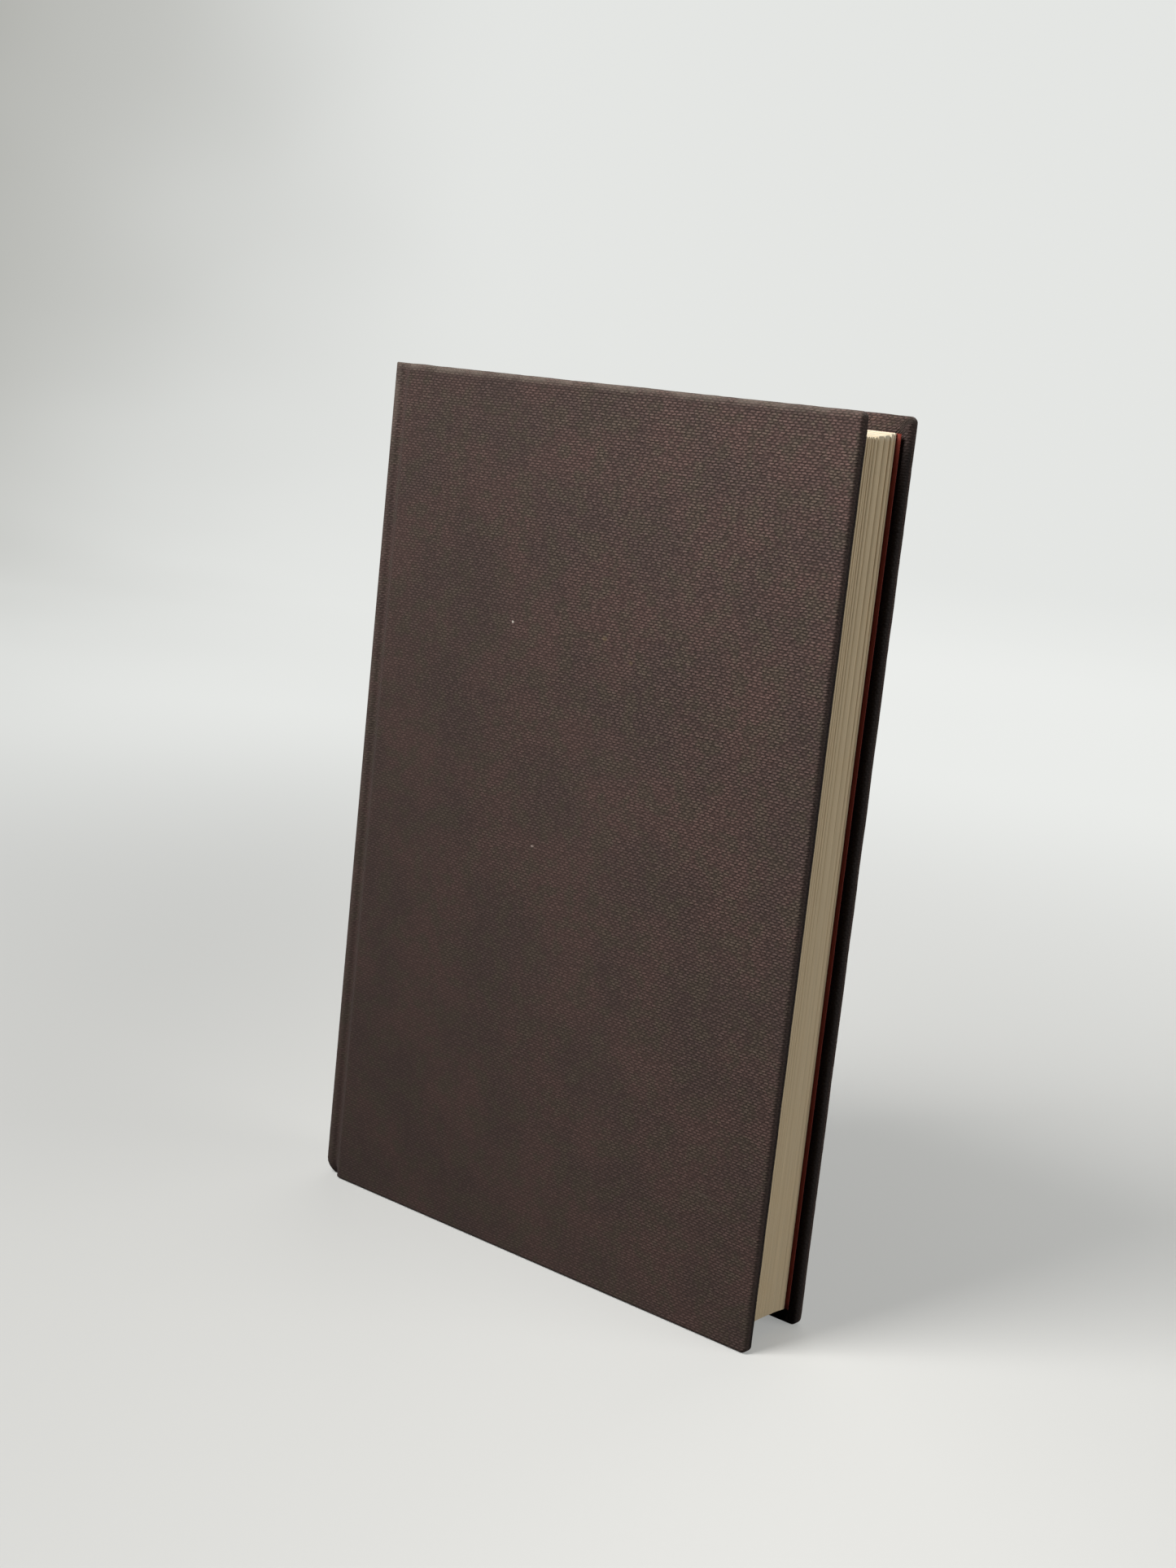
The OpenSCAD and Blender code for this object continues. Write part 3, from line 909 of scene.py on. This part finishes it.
def hang_flyleaf(half, finish):
    """The free half of an endpaper, a little larger than the pages and not quite flat."""
    case = bpy.context.scene.book_case
    pages = bpy.context.scene.book_pages
    width = case.width / MM
    square = pages.square / MM
    proud = pages.proud / MM
    paper = pages.paper / MM
    depth = (pages.front / MM - paper) if half == "front" else pages.back / MM
    first = FOLD_PLACE if half == "front" else FOLD_PLACE - LEAN
    fore = width - square + proud
    columns = steps(first, fore - 6, 3.0) + [fore - 3, fore - 1, fore]
    rows = steps(square, HEIGHT - square - 8, 3.0) + [HEIGHT - square - k for k in (5, 2, 0.12)]
    slack = 0.16 if half == "back" else 0.05
    way = 1 if half == "back" else -1

    def place(i, j):
        u, z = columns[i], rows[j]
        lift = slack * smooth(30, width, u) * (0.5 + noise.noise(Vector((u * 0.03, z * 0.03, 1))))
        droop = 0.0 if half == "back" else (
            pages.sag / MM * smooth(fore - pages.sag_length / MM, fore, u)
            * smooth(HEIGHT - 40, HEIGHT, z))
        reach = 0.1 * noise.noise(Vector((z * 0.05, 2.0, 8.0))) * smooth(fore - 8, fore, u)
        return (at_front(u + reach, depth + way * max(0.0, lift), z - droop),
                Vector((u, z, 0)) * MM)

    bm = new_mesh()
    lay_grid(bm, len(columns) - 1, len(rows) - 1, place)
    piece = finish_piece(bm, f"{half}_free_endpaper",
                         at_front(width / 2, depth + way * 60, HEIGHT / 2), finish)
    wall = piece.modifiers.new("wall", "SOLIDIFY")
    wall.thickness = pages.paper
    wall.offset = way
    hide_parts(f"{half}_flyleaf")
    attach(piece, "book_block")


def stack_pages(finish):
    """The sewn block: ridged and hollow at the fore-edge, folds at the spine, and a head
    whose leading corner has sagged in steps."""
    case = bpy.context.scene.book_case
    pages = bpy.context.scene.book_pages
    shape = SpineShape()
    centre = shape.halves["front"][0]
    width = case.width / MM
    square = pages.square / MM
    fore = width - square
    first, last = pages.front / MM, pages.back / MM
    # Depths at which one section's edges end and the next begin
    gaps = [first, 5.1, 6.1, 7.1, 8.05, 9.0, 10.0, 11.0, 12.0, 13.0, 14.0, 15.5, 18.0,
            20.25, 21.5, last]
    # How far each section sags at the head, as a share of the sag
    drops = [1.0] * 11 + [0.73, 0.53, 0.20, 0.05]
    # Folds, gaps and waves, and the share of the height that does not sag
    fold_share = 0.45
    fore_gap = 0.08
    leaf_wave = 0.05
    section_wave = 0.096
    lip_depth = 0.22
    firm = 0.8
    # Rows across one section, columns over the width, and heights, all as shares
    shares = (0.0, 0.05, 0.12, 0.3, 0.5, 0.7, 0.88, 0.95)
    lengths = [0, 0.2, 0.4, 0.55, 0.68] + steps(0.76, 1, 0.24 / 22)
    heights = steps(0, 1, 1 / 60)
    depths = []
    for k in range(len(gaps) - 1):
        depths += [(k, share, gaps[k] + (gaps[k + 1] - gaps[k]) * share) for share in shares]
    depths.append((len(gaps) - 2, 1.0, last))

    def spot(a, b, c):
        """A place in the block: column a from spine to fore-edge, depth b and height c."""
        section, share, v = depths[b]
        across = 2 * (v - first) / (last - first) - 1
        z_share = heights[c]
        z = square + (HEIGHT - 2 * square) * z_share
        back = centre.x - math.sqrt(FOLD_RADIUS ** 2 - (v - centre.y) ** 2)
        pitch = gaps[section + 1] - gaps[section]
        fold = fold_share * pitch * (1 - math.sqrt(max(0.0, 1 - (2 * share - 1) ** 2)))
        crest = 1 - abs(2 * share - 1) ** 6
        strength = (0.1 + 0.9 * z_share ** 2) * (0.8 if section > 10 else 1.0)
        groove = pages.ridge / MM * strength * (1 - crest)
        leaf = leaf_wave * noise.noise(Vector((v * 9, z * 0.01, 4.0)))
        uneven = section_wave * noise.noise(Vector((section * 3.7, z * 0.006, 6.0)))
        edge = (fore - pages.hollow / MM * (1 - across ** 2) - groove - abs(leaf) - fore_gap
                - uneven)
        u = (back + fold) + (edge - back - fold) * lengths[a]
        along = max(0.0, 1 - (fore - u) / (pages.sag_length / MM))
        rough = leaf_wave * noise.noise(Vector((v * 6, u * 0.02, 9.0)))
        lip = lip_depth * (1 - crest) * smooth(0.5, 1.0, along)
        sag = pages.sag / MM * drops[section] * along ** 2 + lip + rough * z_share
        z -= sag * max(0.0, (z_share - firm) / (1 - firm))
        # The sheet's second number is the crevice depth, which sets the painted shade and dirt
        # between sections
        return at_front(u, v, z), Vector((v, (1 - crest) * strength, u)) * MM

    na, nb, nc = len(lengths) - 1, len(depths) - 1, len(heights) - 1
    bm = new_mesh()
    lay_grid(bm, na, nb, lambda i, j: spot(i, j, nc))
    lay_grid(bm, na, nb, lambda i, j: spot(i, j, 0))
    lay_grid(bm, nb, nc, lambda i, j: spot(na, i, j))
    lay_grid(bm, nb, nc, lambda i, j: spot(0, i, j))
    lay_grid(bm, na, nc, lambda i, j: spot(i, 0, j))
    lay_grid(bm, na, nc, lambda i, j: spot(i, nb, j))
    piece = finish_piece(bm, "page_block", at_front(width / 2, THICK / 2, 400), finish)
    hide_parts("text_block")
    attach(piece, "book_block")


def sew_headband(end, finish):
    """A bead of thread wound over a core at one end of the spine."""
    pages = bpy.context.scene.book_pages
    shape = SpineShape()
    centre = shape.halves["front"][0]
    bead = 0.8
    end_gap = 0.9
    first, last = pages.front / MM, pages.back / MM
    level = HEIGHT - pages.square / MM if end == "head" else pages.square / MM
    out = 1 if end == "head" else -1
    radius = FOLD_RADIUS - bead
    start = 180 - math.degrees(math.asin((first + end_gap - centre.y) / radius))
    stop = 180 - math.degrees(math.asin((last - end_gap - centre.y) / radius))
    arc_length = radius * math.radians(abs(stop - start))
    turns = round(arc_length / STRAND)
    across = turns * 6
    ring = 16

    def place(i, j):
        share = i / across
        turn = math.radians(start + (stop - start) * share)
        round_turn = 2 * math.pi * j / ring
        strand = abs(math.sin(math.pi * turns * share + 0.2 * math.sin(round_turn)))
        size = bead * (0.86 + 0.14 * strand) * (1 - 0.35 * abs(2 * share - 1) ** 14)
        reach = radius - size * math.cos(round_turn)
        z = level + out * (bead + size * math.sin(round_turn))
        return (at_front(centre.x + reach * math.cos(turn), centre.y + reach * math.sin(turn),
                         z),
                Vector((share * arc_length, j * 2 * math.pi * bead / ring, 0)) * MM)

    bm = new_mesh()
    lay_grid(bm, across, ring, place)
    bmesh.ops.remove_doubles(bm, verts=bm.verts, dist=MERGE)
    bmesh.ops.holes_fill(bm, edges=bm.edges, sides=ring + 2)
    middle = at_front(centre.x + radius * math.cos(math.radians((start + stop) / 2)),
                      centre.y, level + out * (bead + 30))
    piece = finish_piece(bm, f"{end}_headband", middle, finish)
    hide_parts(f"{end}_band")
    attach(piece, "book_block")


# Stage


def lay_floor(finish):
    """A round floor that curves up into a low wall all round."""
    bm = new_mesh()
    reach, bend, wall = 1.6, 0.9, 2.2
    profile = [(0.0, 0.0), (0.3, 0.0), (0.8, 0.0), *arc((reach, bend), bend, 270, 360, 10),
               (reach + bend, wall)]
    chain = [bm.verts.new((x, 0.0, z)) for x, z in profile]
    edges = [bm.edges.new(pair) for pair in zip(chain, chain[1:])]
    bmesh.ops.spin(bm, geom=chain + edges, cent=(0, 0, 0), axis=(0, 0, 1),
                   angle=2 * math.pi, steps=72, use_merge=True)
    floor = finish_piece(bm, "floor", Vector((0, 0, 1.0)), finish)


def add_lamp(name, spot, aim, size, power, tint):
    """A square soft box at spot, turned to aim."""
    light = bpy.data.lights.new(name, "AREA")
    light.shape = "SQUARE"
    light.size = size
    light.energy = power
    light.color = tint
    lamp = bpy.data.objects.new(name, light)
    lamp.location = spot
    lamp.rotation_mode = "QUATERNION"
    lamp.rotation_quaternion = (Vector(aim) - Vector(spot)).to_track_quat("-Z", "Y")
    bpy.context.scene.collection.objects.link(lamp)


def set_camera():
    """The camera at the photograph's place and angle."""
    data = bpy.data.cameras.new("camera")
    data.sensor_width = 36.0
    data.lens = data.sensor_width * FOCAL_LENGTH / PHOTO_HEIGHT
    data.clip_start = 0.01
    data.clip_end = 20
    camera = bpy.data.objects.new("camera", data)
    camera.matrix_world = (
        Matrix.Translation(CAMERA_PLACE)
        @ Matrix.Rotation(math.radians(CAMERA_HEADING - 90), 4, "Z")
        @ Matrix.Rotation(math.radians(90 - CAMERA_DOWN), 4, "X")
        @ Matrix.Rotation(math.radians(CAMERA_ROLL), 4, "Z"))
    bpy.context.scene.collection.objects.link(camera)
    bpy.context.scene.camera = camera


# Operators, one for each group of pieces


class WrapCovers(bpy.types.Operator):
    """Wraps both covers and the spine in cloth"""

    bl_idname = "book.wrap_covers"
    bl_label = "Wrap covers"

    def execute(self, context):
        finish = cloth_finish()
        for half in ("front", "back"):
            wrap_case(half, finish)
        return {"FINISHED"}


class StiffenSpine(bpy.types.Operator):
    """Puts the card in the spine"""

    bl_idname = "book.stiffen_spine"
    bl_label = "Stiffen spine"

    def execute(self, context):
        stiffen_spine(board_finish())
        return {"FINISHED"}


class PasteEndpapers(bpy.types.Operator):
    """Pastes the endpapers to the covers and lays the flyleaves on the pages"""

    bl_idname = "book.paste_endpapers"
    bl_label = "Paste endpapers"

    def execute(self, context):
        finish = paper_finish("red_endpaper", context.scene.book_colours.endpaper)
        for half in ("front", "back"):
            paste_endpaper(half, finish)
            hang_flyleaf(half, finish)
        return {"FINISHED"}


class StackPages(bpy.types.Operator):
    """Builds the block of pages"""

    bl_idname = "book.stack_pages"
    bl_label = "Stack pages"

    def execute(self, context):
        stack_pages(page_finish())
        return {"FINISHED"}


class SewHeadbands(bpy.types.Operator):
    """Sews the headbands at both ends of the spine"""

    bl_idname = "book.sew_headbands"
    bl_label = "Sew headbands"

    def execute(self, context):
        finish = thread_finish()
        for end in ("head", "tail"):
            sew_headband(end, finish)
        return {"FINISHED"}


class FinishFrame(bpy.types.Operator):
    """Gives the boards, gauze and lining of the frame their materials"""

    bl_idname = "book.finish_frame"
    bl_label = "Finish frame"

    def execute(self, context):
        tints = context.scene.book_colours
        board = board_finish()
        finishes = {
            "front_board": board,
            "back_board": board,
            "spine_gauze": gauze_finish(),
            "spine_lining": paper_finish("kraft_lining", tints.lining, 0.06),
        }
        for name, finish in finishes.items():
            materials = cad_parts[name].data.materials
            materials.clear()
            materials.append(finish)
        return {"FINISHED"}


class SetStage(bpy.types.Operator):
    """Floor, soft lamps, world and camera"""

    bl_idname = "book.set_stage"
    bl_label = "Set stage"

    def execute(self, context):
        scene = context.scene
        lay_floor(floor_finish())
        for lamp in LAMPS:
            add_lamp(*lamp)
        world = bpy.data.worlds.new("studio")
        world.use_nodes = True
        ground = world.node_tree.nodes["Background"]
        ground.inputs["Color"].default_value = (1.0, 1.0, 0.99, 1.0)
        ground.inputs["Strength"].default_value = 0.12
        scene.world = world
        scene.view_settings.view_transform = "Standard"
        set_camera()
        return {"FINISHED"}


class BookPanel(bpy.types.Panel):
    """Sizes, colours and steps of the book"""

    bl_idname = "VIEW3D_PT_book"
    bl_label = "Hardback book"
    bl_space_type = "VIEW_3D"
    bl_region_type = "UI"
    bl_category = "Book"

    def draw(self, context):
        for name in GROUPS:
            group = getattr(context.scene, name)
            box = self.layout.box()
            for key in group.__annotations__:
                box.prop(group, key)
        for step in STEPS:
            self.layout.operator(step.bl_idname)


GROUPS = {
    "book_case": CaseSizes,
    "book_pages": PageSizes,
    "book_colours": Colours,
    "book_weave": Weave,
}
STEPS = (WrapCovers, StiffenSpine, PasteEndpapers, StackPages, SewHeadbands, FinishFrame,
         SetStage)


def register():
    for group in GROUPS.values():
        bpy.utils.register_class(group)
    for step in (*STEPS, BookPanel):
        bpy.utils.register_class(step)
    for name, group in GROUPS.items():
        setattr(bpy.types.Scene, name, PointerProperty(type=group))


def unregister():
    for name in GROUPS:
        delattr(bpy.types.Scene, name)
    for step in (*STEPS, BookPanel):
        bpy.utils.unregister_class(step)
    for group in GROUPS.values():
        bpy.utils.unregister_class(group)


def main():
    register()
    for step in STEPS:
        group, name = step.bl_idname.split(".")
        getattr(getattr(bpy.ops, group), name)()


if __name__ == "__main__":
    main()
